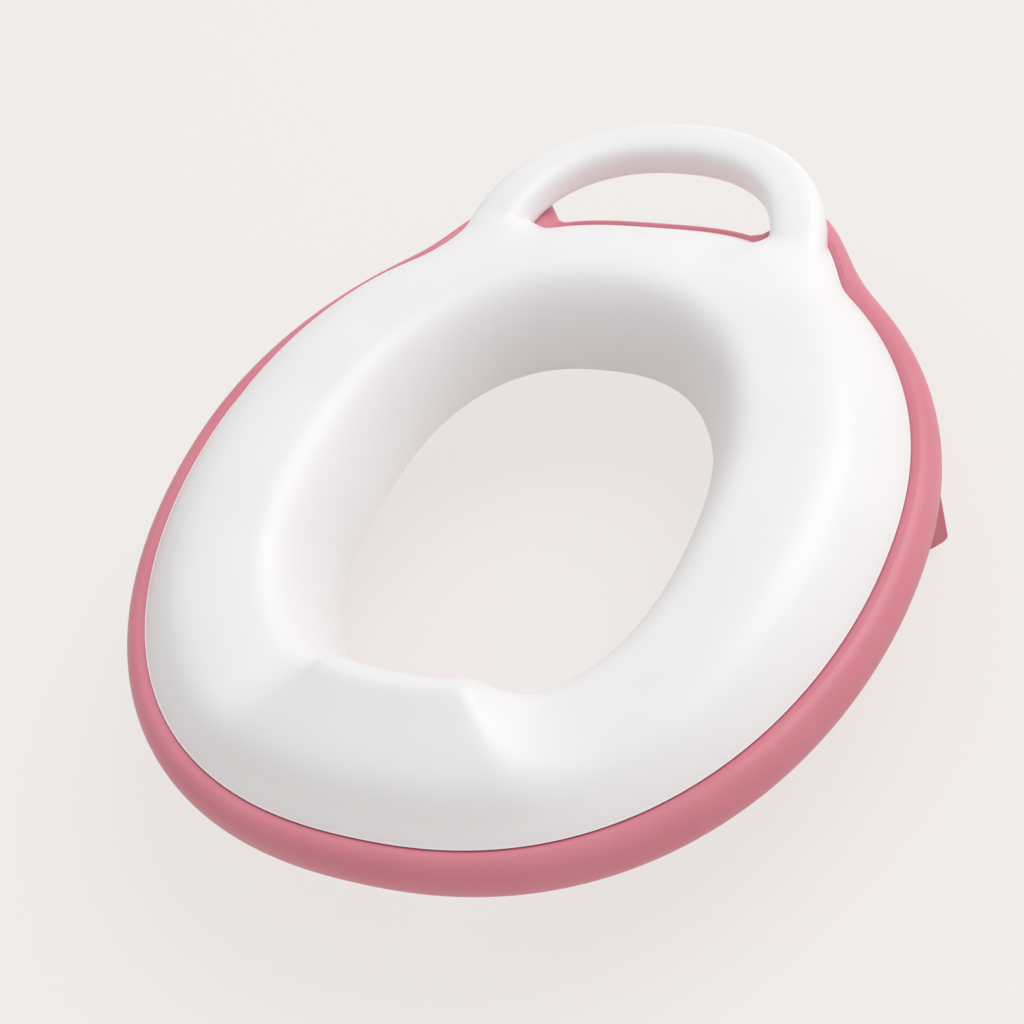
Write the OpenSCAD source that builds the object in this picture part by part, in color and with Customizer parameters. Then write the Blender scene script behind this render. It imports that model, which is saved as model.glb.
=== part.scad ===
// Potty training seat: a white padded-looking ring with a splash guard and a carrying handle,
// on a pink base whose two side guards are wound in and out by a dial under the front.

/* [Ring] */
// Width of the white ring where it meets the pink base
ring_w = 290; // [260:1:320]
// Length of the white ring where it meets the pink base
ring_l = 314; // [285:1:345]
// Width of the hole
hole_w = 132; // [120:1:138]
// Reach of the hole behind its widest place
hole_back = 91; // [82:1:94]
// Reach of the hole in front of its widest place
hole_front = 82; // [74:1:86]
// How far the widest place of the hole lies in front of the ring's middle
hole_shift = 10; // [4:1:14]
// Height of the crown above the joint with the base
crown_h = 22; // [18:0.5:28]
// Height of the ring at the two dips beside the splash guard
dip_h = 14; // [8:0.5:16]
// How much lower the crown is at the back than at the sides
rear_drop = 3; // [0:0.5:6]
// Depth of the hole's wall below the joint
hole_drop = 17.4; // [15:0.1:18]
// Wall thickness of the white moulding
shell_t = 2.6; // [2:0.1:3.2]

/* [Splash guard] */
// Height of the splash guard above the joint
splash_h = 27; // [22:0.5:34]
// Half of the angle that the top of the splash guard covers
splash_half = 16; // [12:1:19]
// Angle that each flank of the splash guard takes to come down
splash_flank = 10; // [8:1:16]
// Where the splash guard's face ends, as a share of the way from its top to the joint
splash_foot = 0.86; // [0.7:0.02:0.95]

/* [Handle] */
// Width across the middle of the handle's two legs
handle_w = 132; // [112:1:136]
// Reach of the handle's middle line behind the ring
handle_reach = 35; // [28:1:44]
// Thickness of the grip, front to back
grip_w = 20; // [16:0.5:24]
// Height of the grip
grip_h = 17; // [14:0.5:20]
// Extra width of each leg where it runs into the ring
leg_flare = 4; // [2:0.5:7]
// How far the ring's shoulders reach out under the legs
shoulder = 12; // [8:0.5:15]
// Height of the middle of the grip above the joint
grip_z = 4; // [4:0.5:8]
// How far the ring's edge dips inside the handle slot
slot_drop = 5; // [2:0.5:6]
// How much the ring is flattened inside the handle slot
slot_flat = 6; // [0:0.5:8]

/* [Base] */
// How far the pink rim stands out past the white ring
rim_out = 10; // [7:0.5:14]
// How far the pink rim shows behind the ring, inside the handle slot
rim_slot = 4.5; // [1.5:0.5:6]
// Extra reach of the pink ears under the handle's legs
ear_out = 14; // [8:0.5:14]
// Height of the pink rim
rim_h = 20.2; // [19.4:0.1:23]
// Thickness of the base's floor
floor_t = 2.8; // [2.4:0.1:3.2]
// Height of the collar round the hole above the floor
collar_h = 4; // [2:0.5:4.5]
// Wall thickness of the pink rim, which is a channel open below
rim_t = 2.8; // [2.2:0.1:3.4]

/* [Side guards] */
// Depth of the guards below the joint between ring and base
guard_depth = 71; // [66:1:90]
// Length of each guard, front to back
guard_l = 115; // [96:1:120]
// Place of a guard's rear end behind the ring's middle
guard_rear = 57; // [50:1:60]
// Place of the guards' outer faces from the middle, wound fully out
guard_x = 112; // [110:1:118]
// How far the rear end of each guard flares out
guard_flare = 30; // [18:1:32]
// Wall thickness of the guards
guard_t = 4; // [3:0.1:5]
// Width of the flange along the top of each guard
flange_w = 16; // [14:0.5:17]
// Thickness of the flange
flange_t = 2.6; // [2:0.1:3.4]
// Number of ribs under each flange
rib_count = 3; // [2:1:5]
// Thickness of the soft strip on each guard's outer face
strip_t = 1.6; // [1:0.1:2.4]
// Height of the soft strip
strip_h = 22; // [12:1:34]

/* [Dial and gear] */
// Number of teeth on the pinion
pinion_teeth = 18; // [16:1:20]
// Tooth size: pitch diameter divided by the number of teeth
tooth_module = 1.5; // [1.4:0.05:1.6]
// Backlash between a rack tooth and its gap
backlash = 0.3; // [0.2:0.05:0.5]
// Place of the dial's axis in front of the ring's middle
dial_y = 122; // [120:0.5:124]
// Turn of the dial from fully out to fully in, in degrees
dial_turn = 90; // [70:5:90]
// Diameter of the dial's knob
knob_d = 44; // [38:1:46]
// Height of the knob
knob_h = 9; // [7:0.5:12]
// Number of finger scallops round the knob
scallop_count = 12; // [8:1:16]
// Diameter of the dial's shaft
shaft_d = 10; // [8:0.5:12]
// Height of the racks and of the pinion's teeth
rack_h = 8; // [6:0.5:10]
// Width of each rack bar behind its teeth
bar_w = 5; // [4:0.5:5.5]
// Half of the gear cover's width
cover_half = 40; // [38:0.5:42]
// Wall thickness of the gear cover
cover_t = 2.4; // [1.8:0.1:3]

/* [Screws and pads] */
// Angles of the screws that join ring and base, from the back, on each side
screw_angles = [32, 76, 120, 148];
// Shank diameter of the screws
screw_d = 3.4; // [3:0.1:4]
// Diameter of their countersunk heads
screw_head_d = 7; // [6:0.1:8]
// Diameter of the screw bosses inside the ring
boss_d = 9; // [8:0.5:11]
// Diameter of the guide pins that carry the guards
pin_d = 6; // [5:0.5:7]
// Diameter of the guide pins' heads
pin_head_d = 11; // [10:0.5:12]
// Diameter of the rubber pads under the base
pad_d = 16; // [12:0.5:18]
// Thickness of the rubber pads
pad_t = 2; // [1.5:0.1:3]

/* [Fits] */
// Gap between pieces that lie against each other
seat_gap = 0.3; // [0.2:0.05:0.4]
// Gap round a piece that slides or turns
run_gap = 0.4; // [0.3:0.05:0.5]

/* [Hidden] */
white = "#f1efee";
pink = "#cf8592";
soft_pink = "#c97c8a";
steel = "#b9bcc0";

// Places in the part's own frame: the floor under the guards is z = 0
joint_z = guard_depth;
rim_front = ring_l / 2 + rim_out;
handle_back = ring_l / 2 + handle_reach + grip_w / 2;
ring_y = (rim_front - handle_back) / 2;

// Levels measured from the joint between ring and base
under_z = 1 - rim_h;
floor_top = under_z + floor_t;
rack_top = under_z - run_gap;
rack_bottom = rack_top - rack_h;
cover_floor = rack_bottom - run_gap;
cover_bottom = cover_floor - cover_t;
knob_top = cover_bottom - run_gap;
knob_bottom = knob_top - knob_h;

// Base: the collar's wall and its gap to the ring, and how far in the ring is backed by the rim
collar_t = 2;
collar_gap = 2;
rim_seat = 9;

// Gear sizes
pitch_r = pinion_teeth * tooth_module / 2;
tip_r = pitch_r + tooth_module;
root_r = pitch_r - 1.25 * tooth_module;
base_r = pitch_r * cos(20);
travel = pitch_r * dial_turn * PI / 180;
bar_back = pitch_r + 1.25 * tooth_module + bar_w;
bar_middle = bar_back - bar_w / 2;
rack_first = -2;
rack_last = ceil((travel + 8) / (PI * tooth_module));
right_bend = 80;
left_bend = 67;
shaft_gap = 0.2;
hub_h = knob_h - 2.6;
hub_d = 18;
knob_wall = 2.6;
screw_sink = 1.6;
dial_head_h = 1.6;

// Guards: places along their length, and what they carry
guard_front = guard_rear - guard_l;
guard_corner = 6;
flange_front = -22;
flange_rear = 48;
pin_places = [-8, 34];
pin_head_h = 2.4;
rib_t = 2.4;
strip_foot = 8;
strip_rear = 36;
GUARD_STEPS = 24;
arm_end = [guard_face(guard_front) - guard_t / 2, guard_front + 3];

// Screws of the gear cover, measured from the dial's axis
cover_boss_d = 7;
cover_screw_places = [for (x = [-25, 25], y = [-5.5, 5.5]) [x, y]];

SIDES = 96;
function ease(x) = let (t = max(0, min(1, x))) t * t * (3 - 2 * t);
function mix(a, b, w) = a + (b - a) * w;
function back_to_front(list) = [for (i = [len(list) - 1 : -1 : 0]) list[i]];
function front_angle(phi) = abs(180 - phi);

// Directions round the ring from the back, closer together at the handle and the splash guard
function direction(i) = let (u = 360 * i / SIDES) u - 13 * sin(2 * u);
function oval(phi, a, b, n) =
    pow(pow(abs(sin(phi)) / a, n) + pow(abs(cos(phi)) / b, n), -1 / n);
function back_angle(phi) = min(phi, 360 - phi);
function bump(phi, start, rise, fall, end) = let (b = back_angle(phi))
    ease((b - start) / (rise - start)) * (1 - ease((b - fall) / (end - fall)));
function ring_oval(phi) = oval(phi, ring_w / 2, ring_l / 2, 2.08 - 0.18 * cos(phi));
function plain_r(phi) = ring_oval(phi) - slot_flat * (1 - ease(back_angle(phi) / 18));
function ring_r(phi) = plain_r(phi) + shoulder * bump(phi, 16, 22, 26, 37);
function hole_r(phi) = oval(phi, hole_w / 2, cos(phi) > 0 ? hole_back : hole_front,
    2.36 - 0.1 * cos(phi));
function at(phi, r) = [r * sin(phi), r * cos(phi)];

// Section of the ring in one direction: crown height, its place and how full each side is
function rear(phi) = ease((cos(phi) - 0.45) / 0.55);
function splash(phi) = 1 - ease((front_angle(phi) - splash_half) / splash_flank);
function ring_crown(phi) = mix(dip_h, crown_h - rear_drop * rear(phi), ease((front_angle(phi) - 22) / 60));
function crown(phi) = mix(ring_crown(phi), splash_h, splash(phi));
function crown_place(phi) = mix(0.5 - 0.16 * pow(cos(phi), 2), 0.3, splash(phi));
function outer_full(phi) = 1.75 + 0.4 * pow(sin(phi), 2);
function inner_full(phi) = mix(1.5, 1.9, splash(phi));
function slot_low(phi) = slot_drop * (1 - ease((back_angle(phi) - 27) / 12));

// Points across the ring from the hole's lower edge over the crown to the joint
function over(phi, t, gap) =
    let (h = at(phi, hole_r(phi) + gap),
        o = at(phi, ring_r(phi) - gap),
        p = crown_place(phi) * (ring_oval(phi) - hole_r(phi)) / (ring_r(phi) - hole_r(phi)),
        n = t < 0 ? inner_full(phi) : outer_full(phi),
        c = pow(max(0, cos(90 * t)), 2 / n),
        s = pow(abs(sin(90 * t)), 2 / n),
        k = t < 0 ? p - p * s : p + (1 - p) * s,
        low = t < 0 ? -hole_drop : -slot_low(phi),
        top = (t < 0 ? crown(phi) : ring_crown(phi)) - gap,
        face = t < 0 ? 0 : (crown(phi) - ring_crown(phi)) * max(0, 1 - s / splash_foot))
    [mix(h[0], o[0], k), mix(h[1] - hole_shift, o[1], k), low + (top - low) * c + face];

ACROSS = [-1, -0.86, -0.72, -0.58, -0.44, -0.3, -0.15, 0, 0.15, 0.3, 0.45, 0.6, 0.74, 0.87, 1];

// A closed solid through rings of points, each ring one section of the loop
module loop_solid(rings) {
    n = len(rings);
    m = len(rings[0]);
    polyhedron(
        points = [for (r = rings, p = r) p],
        faces = [for (i = [0 : n - 1], j = [0 : m - 1], f = [0, 1])
            let (a = i * m + j,
                b = i * m + (j + 1) % m,
                c = ((i + 1) % n) * m + (j + 1) % m,
                d = ((i + 1) % n) * m + j)
            f == 0 ? [a, b, c] : [a, c, d]]);
}

// A closed solid through sections in a row, with flat ends
module row_solid(rows) {
    n = len(rows);
    m = len(rows[0]);
    polyhedron(
        points = [for (r = rows, p = r) p],
        faces = concat(
            [for (i = [0 : n - 2], j = [0 : m - 1], f = [0, 1])
                let (a = i * m + j,
                    b = i * m + (j + 1) % m,
                    c = (i + 1) * m + (j + 1) % m,
                    d = (i + 1) * m + j)
                f == 0 ? [a, b, c] : [a, c, d]],
            [[for (j = [m - 1 : -1 : 0]) j]],
            [[for (j = [0 : m - 1]) (n - 1) * m + j]]));
}

// The ring as a full body with a nearly level outer foot, or with a gap all round
// as the hollow inside it, open below
module ring_body(gap, below) {
    loop_solid([for (i = [0 : SIDES - 1])
        let (phi = direction(i),
            section = [for (t = ACROSS) over(phi, t, gap)],
            last = section[len(section) - 1],
            foot = mix(last, section[0], 0.05))
        below == 0 ? concat(section, [[foot[0], foot[1], last[2] - 0.15]])
            : concat([section[0] - [0, 0, below]], section, [last - [0, 0, below]])]);
}

// The handle: an arch in plan, a channel open below, its ends sunk into the ring
HANDLE_STEPS = 30;
handle_root = 37;
end_sink = 4;
grip_lip = 0.655 * grip_h / 2;
function arch(a) = [handle_w / 2 * sign(cos(a)) * pow(abs(cos(a)), 2 / 2.05),
    ring_l / 2 - handle_root + (handle_reach + handle_root) * pow(abs(sin(a)), 2 / 2.05)];
function grip_side(w, h, steps) = [for (b = steps)
    [w * sign(cos(b)) * pow(abs(cos(b)), 2 / 3), h * sign(sin(b)) * pow(abs(sin(b)), 2 / 3)]];
function grip_section(w, h) = concat(
    grip_side(w, h, [-32, -12, 10, 30, 50, 70, 90, 110, 130, 150, 170, 192, 212]),
    [[shell_t - w, -grip_lip]],
    grip_side(w - shell_t, h - shell_t, [180, 155, 125, 90, 55, 25, 0]),
    [[w - shell_t, -grip_lip]]);
module handle_body() {
    row_solid([for (i = [0 : HANDLE_STEPS])
        let (a = 180 * i / HANDLE_STEPS,
            p = arch(a),
            q = arch(min(a + 1, 180)),
            r = arch(max(a - 1, 0)),
            dir = (q - r) / norm(q - r),
            wide = grip_w / 2 + leg_flare * pow(abs(cos(a)), 3),
            middle = grip_z - end_sink * pow(abs(cos(a)), 16))
        [for (c = grip_section(wide, grip_h / 2))
            [p[0] + c[0] * dir[1], p[1] - c[0] * dir[0], middle + c[1]]]]);
}

// A place on the middle of the ring, used by the screws and their bosses
function crown_point(phi) = over(phi, 0, 0);
module mirror_pair() {
    children();
    mirror([1, 0, 0]) children();
}

module seat_frame() {
    translate([0, ring_y, joint_z]) children();
}

module screw_boss(phi) {
    p = crown_point(phi);
    difference() {
        hull() {
            translate([p[0], p[1], floor_top + seat_gap])
                cylinder(d = boss_d, h = p[2] - shell_t + 0.4 - floor_top - seat_gap, $fn = 20);
            translate([p[0], p[1], p[2] - shell_t - 5]) rotate(-phi)
                cube([boss_d + 8, 2, 4], center = true);
        }
        translate([p[0], p[1], floor_top - 1]) cylinder(d = screw_d - 0.3, h = 13, $fn = 16);
    }
}

module seat_shell() {
    color(white) seat_frame() {
        difference() {
            union() {
                ring_body(0, 0);
                handle_body();
            }
            ring_body(shell_t, 8);
        }
        mirror_pair() for (phi = screw_angles) screw_boss(phi);
    }
}

// How far the rim stands out past the plain oval: ears at the legs, a thin line in the slot
function rim_reach(phi) = mix(rim_slot, rim_out, ease((back_angle(phi) - 16) / 6))
    + ear_out * bump(phi, 15.5, 21, 23, 40);
function hole_edge(phi, gap) = at(phi, hole_r(phi) + gap) - [0, hole_shift];

// Rounded outer side of the rim, or its inner side when gap is the wall's thickness
RIM_STEPS = [84, 56, 28, 0, -28, -56, -84];
function rim_side(reach, low, gap) = let (mid = 1 + (reach - 1) * 0.1, half = (rim_h - low) / 2)
    [for (t = RIM_STEPS)
        [mid + (reach - mid - gap) * pow(cos(t), 2 / 2.1),
            1 - low - half + (half - gap) * sign(t) * pow(abs(sin(t)), 2 / 2.1)]];

// Section of the base in one direction: collar, floor, and the rim as a channel open below
function tray_section(phi) =
    let (r = ring_r(phi),
        reach = rim_reach(phi) + plain_r(phi) - r,
        dir = at(phi, 1),
        low = slot_low(phi),
        top = -seat_gap - low,
        edge = hole_edge(phi, shell_t + collar_gap),
        wall = [[-rim_seat, floor_top], [-rim_seat, top], [0.4, top]],
        foot = [[rim_t - rim_seat, top - rim_t], [rim_t - rim_seat, under_z]])
    concat(
        [[edge[0], edge[1], under_z],
            [edge[0], edge[1], floor_top + collar_h],
            [edge[0] + collar_t * dir[0], edge[1] + collar_t * dir[1], floor_top + collar_h],
            [edge[0] + collar_t * dir[0], edge[1] + collar_t * dir[1], floor_top]],
        [for (q = concat(wall, rim_side(reach, low, 0), back_to_front(rim_side(reach, low, rim_t)), foot))
            [(r + q[0]) * dir[0], (r + q[0]) * dir[1], q[1]]]);

module base_tray() {
    color(pink) seat_frame() difference() {
        loop_solid([for (i = [0 : SIDES - 1]) tray_section(direction(i))]);
        mirror_pair() {
            for (phi = screw_angles) let (p = crown_point(phi)) translate([p[0], p[1], under_z - 0.01]) {
                cylinder(d = screw_d + 0.6, h = 2 * floor_t, $fn = 20);
                cylinder(d1 = screw_head_d + 0.5, d2 = screw_d, h = 2.1, $fn = 24);
            }
            for (y = pin_places) hull() for (x = [0, travel])
                translate([guide_x(y) - x, y, under_z - 1])
                    cylinder(d = pin_d + 2 * run_gap, h = 2 * floor_t, $fn = 24);
        }
        for (p = cover_screw_places) translate([p[0], p[1] - dial_y, under_z - 1])
            cylinder(d = screw_d - 0.3, h = floor_t + 0.6, $fn = 16);
    }
}

// Screws from below, countersunk flush in the floor
module flush_screw(length) {
    cylinder(d1 = screw_head_d, d2 = screw_d - 0.4, h = 2);
    cylinder(d = screw_d - 0.4, h = length);
}

module shell_screws() {
    color(steel) seat_frame() mirror_pair() for (phi = screw_angles) let (p = crown_point(phi))
        translate([p[0], p[1], under_z]) difference() {
            flush_screw(11);
            for (a = [0, 90]) rotate(a) translate([-1.9, -0.4, -0.5]) cube([3.8, 0.8, 1.6]);
        }
}

module base_pads() {
    color(soft_pink) seat_frame() mirror_pair() for (phi = [48, 132])
        let (p = at(phi, ring_r(phi) - rim_seat - pad_d / 2)) translate([p[0], p[1], under_z - pad_t]) {
            cylinder(d = pad_d, h = pad_t);
            difference() {
                translate([0, 0, -0.8]) cylinder(d = pad_d - 3, h = 1);
                translate([0, 0, -1]) cylinder(d = pad_d - 7, h = 0.8);
            }
        }
}

// Plan of a guard's outer face: straight at the front, flared at its rear end
function guard_face(y) = guard_x - 0.0045 * pow(min(0, y - 20), 2)
    + guard_flare * pow(max(0, y - 25) / (guard_rear - 25), 2);
function guide_x(y) = guard_face(y) - flange_w / 2 + 1;
function guard_path(inset, y0, y1) = [for (i = [0 : GUARD_STEPS])
    let (y = mix(y0, y1, i / GUARD_STEPS)) [guard_face(y) - inset, y]];

module guard_plan(near, far, y0, y1) {
    polygon(concat(guard_path(near, y0, y1), back_to_front(guard_path(far, y0, y1))));
}

// Side view of a guard, its lower corners rounded
module rounded_side(h) {
    r = guard_corner;
    corner = [for (a = [0 : 10 : 90]) r * [1 - cos(a), 1 - sin(a)]];
    translate([guard_front, 1]) polygon(concat(
        corner,
        [for (c = back_to_front(corner)) [guard_l - c[0], c[1]]],
        [[guard_l, h + 1], [0, h + 1]]));
}

// The corner of a bent bar, offset to its left by half its width
function mitre(a, b, c, half) =
    let (u = (b - a) / norm(b - a), v = (c - b) / norm(c - b), m = u + v, n = [-m[1], m[0]] / norm(m))
    b + n * half / (n * [-u[1], u[0]]);

// The rack on the far side of the pinion, with its arm bent towards the guard
module rack(bend, hip) {
    pitch = PI * tooth_module;
    root = pitch_r + 1.25 * tooth_module;
    half_tip = pitch / 4 - tooth_module * tan(20) - backlash / 4;
    half_root = pitch / 4 + 1.25 * tooth_module * tan(20) - backlash / 4;
    x0 = (rack_first - 0.5) * pitch;
    p = [x0, bar_middle];
    q = [bend, bar_middle];
    d = (hip - q) / norm(hip - q);
    left = [-d[1], d[0]] * bar_w / 2;
    linear_extrude(rack_h) polygon(concat(
        [[x0, root]],
        [for (k = [rack_first : rack_last], c = [-1, 1], u = c < 0 ? [0, 1] : [1, 0])
            [k * pitch + c * mix(half_root, half_tip, u), mix(root, pitch_r - tooth_module, u)]],
        [mitre(p, q, hip, -bar_w / 2), hip - left, hip + left, mitre(p, q, hip, bar_w / 2)],
        [[x0, bar_back]]));
}

// A guard as it lies on the right-hand side: wall, flange and ribs
module guard_body() {
    top = under_z - seat_gap;
    wall_h = guard_depth + top;
    rib_depth = 34;
    translate([0, 0, -guard_depth]) intersection() {
        linear_extrude(wall_h) guard_plan(0, guard_t, guard_front - 3, guard_rear + 3);
        translate([0, 0, -1]) rotate([90, 0, 90]) linear_extrude(2 * guard_x) rounded_side(wall_h);
    }
    translate([0, 0, top - flange_t]) difference() {
        linear_extrude(flange_t) guard_plan(guard_t - 1, flange_w, flange_front, flange_rear);
        for (y = pin_places) translate([guide_x(y), y, -1])
            cylinder(d = pin_d - 1.6, h = flange_t + 2);
    }
    for (i = [0 : rib_count - 1])
        let (y = mix(flange_front + rib_t, flange_rear - rib_t, i / (rib_count - 1)))
        translate([guard_face(y) - guard_t + 1, y + rib_t / 2, top - flange_t + 0.5])
            rotate([90, 0, 0]) linear_extrude(rib_t)
                polygon([[0, 0], [0, -rib_depth], [guard_t - flange_w, 0]]);
}

module guard_right() {
    color(pink) seat_frame() {
        guard_body();
        translate([0, -dial_y, rack_bottom]) rack(right_bend, arm_end + [0, dial_y]);
    }
}

module guard_left() {
    color(pink) seat_frame() {
        mirror([1, 0, 0]) guard_body();
        translate([0, -dial_y, rack_bottom]) rotate(180) rack(left_bend, [arm_end[0], -arm_end[1] - dial_y]);
    }
}

// Shoulder pins: each stands on a flange, slides in a slot of the floor and ends in a head above it
module guide_pins() {
    for (y = pin_places) translate([guide_x(y), y, 0]) {
        translate([0, 0, under_z - seat_gap - flange_t]) cylinder(d = pin_d - 1.6, h = flange_t + 0.1);
        translate([0, 0, under_z - seat_gap]) cylinder(d = pin_d, h = floor_t + 2 * seat_gap);
        translate([0, 0, floor_top + seat_gap]) difference() {
            cylinder(d1 = pin_head_d, d2 = pin_head_d - 1.6, h = pin_head_h);
            for (a = [0, 90]) rotate(a) translate([-2.2, -0.5, pin_head_h - 1.2]) cube([4.4, 1, 2]);
        }
    }
}

module guide_pins_right() {
    color(steel) seat_frame() guide_pins();
}

module guide_pins_left() {
    color(steel) seat_frame() mirror([1, 0, 0]) guide_pins();
}

module guard_strip() {
    translate([0, 0, strip_foot - guard_depth]) linear_extrude(strip_h) intersection() {
        guard_plan(-strip_t, 0, guard_front - 3, guard_rear + 3);
        translate([0, guard_front + 7]) square([2 * guard_x, strip_rear - guard_front - 7]);
    }
}

module guard_strip_right() {
    color(soft_pink) seat_frame() guard_strip();
}

module guard_strip_left() {
    color(soft_pink) seat_frame() mirror([1, 0, 0]) guard_strip();
}

// Gear cover: a shallow tray under the front of the base, open at one side for each rack bar
module gear_cover() {
    half_y = bar_back + run_gap + cover_t;
    slot = bar_w + 2 * run_gap;
    wall_h = under_z - cover_bottom;
    color(pink) seat_frame() translate([0, -dial_y, cover_bottom]) difference() {
        union() {
            difference() {
                rounded_plate(cover_half, half_y, wall_h, 5);
                translate([0, 0, cover_t]) rounded_plate(cover_half - cover_t, half_y - cover_t, wall_h, 3);
            }
            for (p = cover_screw_places) translate([p[0], p[1], 0]) cylinder(d = cover_boss_d, h = wall_h);
            cylinder(d = shaft_d + 8, h = cover_t + run_gap / 2);
        }
        translate([0, 0, -1]) cylinder(d = shaft_d + 2 * shaft_gap, h = cover_t + 3);
        for (a = [0, 180]) rotate(a)
            translate([cover_half - 2 * cover_t, bar_middle - slot / 2, cover_t])
                cube([3 * cover_t, slot, wall_h]);
        for (p = cover_screw_places) translate([p[0], p[1], -0.01]) {
            cylinder(d = screw_d - 0.3, h = wall_h + 1);
            cylinder(d1 = screw_head_d - 0.8, d2 = screw_d - 0.2, h = 1.7);
        }
    }
}

// A flat block with rounded corners
module rounded_plate(half_x, half_y, h, r) {
    linear_extrude(h) union() {
        square([2 * half_x - 2 * r, 2 * half_y], center = true);
        square([2 * half_x, 2 * half_y - 2 * r], center = true);
        for (sx = [-1, 1], sy = [-1, 1]) translate([sx * (half_x - r), sy * (half_y - r)]) circle(r = r);
    }
}

module cover_screws() {
    color(steel) seat_frame() for (p = cover_screw_places)
        translate([p[0], p[1] - dial_y, cover_bottom]) difference() {
            union() {
                cylinder(d1 = screw_head_d - 1, d2 = screw_d - 0.4, h = 1.7);
                cylinder(d = screw_d - 0.4, h = floor_top - cover_bottom - 0.6);
            }
            for (a = [0, 90]) rotate(a) translate([-1.7, -0.4, -0.5]) cube([3.4, 0.8, 1.4]);
        }
}

// Pinion with involute flanks; a gap faces each rack at rest
function involute(r) = let (a = acos(base_r / r)) tan(a) * 180 / PI - a;
function flank(r) = 90 / pinion_teeth - backlash / 4 / pitch_r * 180 / PI + involute(pitch_r)
    - involute(max(r, base_r));
FLANK_STEPS = [0, 0.25, 0.5, 0.75, 1];
module pinion_plan() {
    polygon([for (k = [0 : pinion_teeth - 1], s = [-1, 1])
        let (steps = s < 0 ? FLANK_STEPS : back_to_front(FLANK_STEPS), mid = k * 360 / pinion_teeth)
        each concat(
            s < 0 ? [root_r * [cos(mid - flank(base_r)), sin(mid - flank(base_r))]] : [],
            [for (u = steps) let (r = mix(base_r, tip_r, u), a = mid + s * flank(r)) r * [cos(a), sin(a)]],
            s > 0 ? [root_r * [cos(mid + flank(base_r)), sin(mid + flank(base_r))]] : [])]);
}

module double_flat(d, h) {
    intersection() {
        cylinder(d = d, h = h);
        translate([-d, -d * 0.36, 0]) cube([2 * d, d * 0.72, h]);
    }
}

module dial_pinion() {
    key_h = hub_h - 1;
    color("#e9e7e4") seat_frame() translate([0, -dial_y, 0]) difference() {
        union() {
            translate([0, 0, rack_bottom]) linear_extrude(rack_h) pinion_plan();
            translate([0, 0, knob_top]) cylinder(d = shaft_d, h = rack_bottom - knob_top + 0.5);
            translate([0, 0, knob_top - key_h]) double_flat(shaft_d, key_h + 0.1);
        }
        translate([0, 0, knob_top - key_h - 1]) cylinder(d = screw_d - 0.4, h = key_h + 9);
    }
}

module dial_knob() {
    r = knob_d / 2;
    web = knob_h - hub_h;
    color(white) seat_frame() translate([0, -dial_y, knob_bottom]) difference() {
        union() {
            rotate_extrude() polygon(concat(
                [[0, 0], [r - 2.5, 0]],
                [for (a = [-75 : 15 : 0]) [r - 2.5 + 2.5 * cos(a), 2.5 + 2.5 * sin(a)]],
                [[r, knob_h], [r - knob_wall, knob_h], [r - knob_wall, web + 1.2], [r - knob_wall - 1.2, web],
                    [hub_d / 2, web], [hub_d / 2, knob_h], [0, knob_h]]));
            for (a = [0 : 60 : 300]) rotate(a)
                translate([hub_d / 2 - 1, -0.8, web - 0.5]) cube([r - hub_d / 2 - knob_wall + 1.5, 1.6, hub_h * 0.6]);
        }
        for (i = [0 : scallop_count - 1]) rotate(360 * i / scallop_count) translate([r + 2.6, 0, -1])
            cylinder(r = 4.2, h = knob_h - 1);
        translate([0, 0, web]) double_flat(shaft_d + 2 * shaft_gap, hub_h + 1);
        translate([0, 0, -1]) cylinder(d = screw_d + 0.4, h = knob_h + 2);
        translate([0, 0, -1]) cylinder(d = screw_head_d + 1, h = 1 + screw_sink);
    }
}

module dial_screw() {
    color(steel) seat_frame() translate([0, -dial_y, knob_bottom + screw_sink - dial_head_h]) difference() {
        union() {
            cylinder(d1 = screw_head_d - 1, d2 = screw_head_d, h = dial_head_h);
            cylinder(d = screw_d - 0.4, h = dial_head_h + hub_h + 3);
        }
        for (a = [0, 90]) rotate(a) translate([-1.9, -0.4, -0.5]) cube([3.8, 0.8, 1.5]);
    }
}

seat_shell();
base_tray();
shell_screws();
base_pads();
gear_cover();
cover_screws();
dial_knob();
dial_pinion();
dial_screw();
guard_right();
guide_pins_right();
guard_strip_right();
guard_left();
guide_pins_left();
guard_strip_left();
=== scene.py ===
# %% [markdown]
# # A potty training seat, dressed for the camera
#
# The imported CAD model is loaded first. It stays as the frame of the scene: every new piece rides on one of
# its bodies, so the dial can turn and the side guards can slide later on.

# %% load the frame
import math
import bmesh
import bpy
from mathutils import Matrix, Vector
from mathutils.bvhtree import BVHTree


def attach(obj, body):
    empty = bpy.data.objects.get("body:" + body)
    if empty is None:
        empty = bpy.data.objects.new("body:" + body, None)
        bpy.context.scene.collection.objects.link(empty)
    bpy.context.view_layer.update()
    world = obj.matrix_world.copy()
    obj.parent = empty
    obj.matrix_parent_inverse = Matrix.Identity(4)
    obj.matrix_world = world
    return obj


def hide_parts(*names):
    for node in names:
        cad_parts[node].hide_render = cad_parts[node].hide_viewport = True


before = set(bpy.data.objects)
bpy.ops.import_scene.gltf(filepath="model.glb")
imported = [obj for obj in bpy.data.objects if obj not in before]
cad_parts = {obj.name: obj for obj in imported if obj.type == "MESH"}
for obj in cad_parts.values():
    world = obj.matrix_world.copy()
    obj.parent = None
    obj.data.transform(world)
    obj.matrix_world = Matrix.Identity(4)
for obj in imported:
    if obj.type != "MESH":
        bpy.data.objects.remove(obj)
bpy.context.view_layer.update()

# %% [markdown]
# ## The camera
#
# The photograph looks at the seat from the front right and from above, with the camera rolled by about
# 22 degrees. The camera comes first.
# The place and the three axes were fitted to the outline of the joint between the white and the pink
# moulding, measured from the middle of the ring at the height of that joint.

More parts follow.
